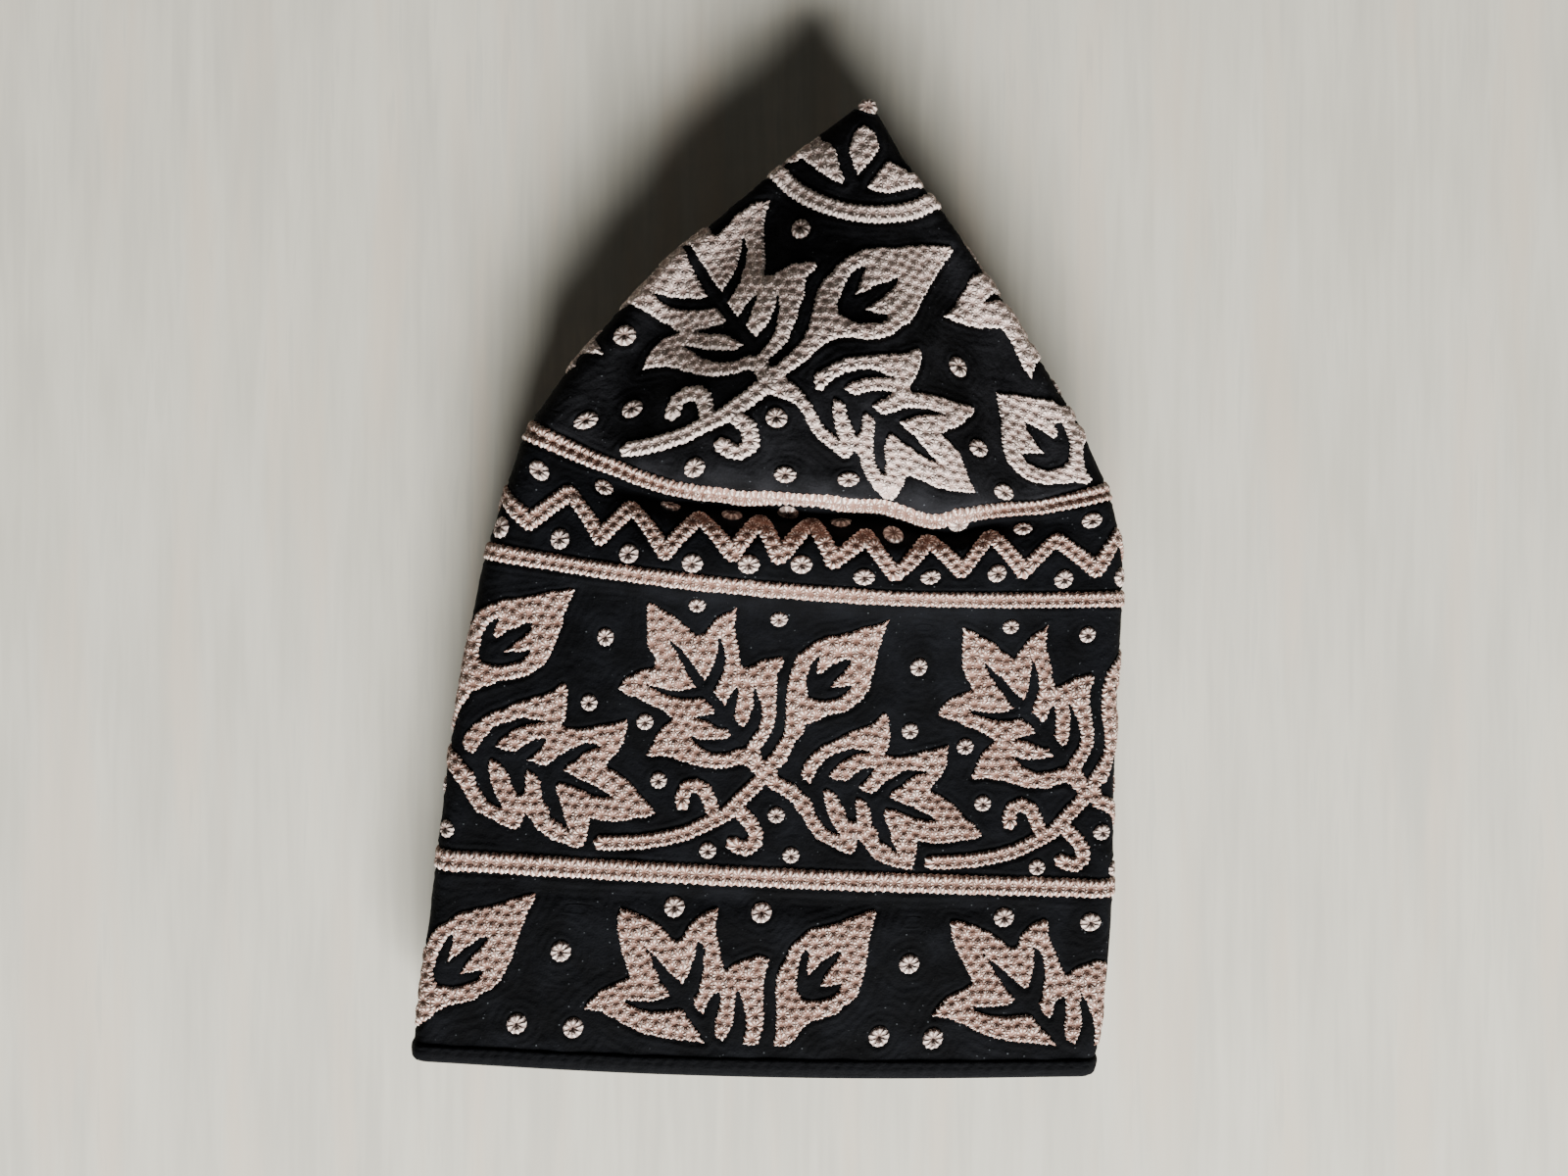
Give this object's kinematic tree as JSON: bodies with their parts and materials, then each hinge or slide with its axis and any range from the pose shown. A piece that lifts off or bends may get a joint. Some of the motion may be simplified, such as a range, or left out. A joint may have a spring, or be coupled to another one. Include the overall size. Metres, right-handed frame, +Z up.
{
  "type": "omani kuma cap",
  "caption": "Brimless embroidered cotton cap folded flat to a quarter, with a straight side band, a round crown folded to a point and a bound hem.",
  "frame": {"origin": "middle of the folded cap's footprint, on the surface that it lies on", "axes": "+Z up out of the face that the picture shows, +Y from the hem towards the folded crown, +X to the right with the crown pointing away"},
  "size_m": [0.1458, 0.1976, 0.0404],
  "materials": {
    "embroidered_cotton": "matte quilted black cotton with rose-beige thread embroidery",
    "binding_cotton": "matte black cotton binding with a line of stitches"
  },
  "bodies": {
    "root": {"crown": "embroidered_cotton", "side_band": "embroidered_cotton", "hem_binding": "binding_cotton"}
  },
  "joints": []
}
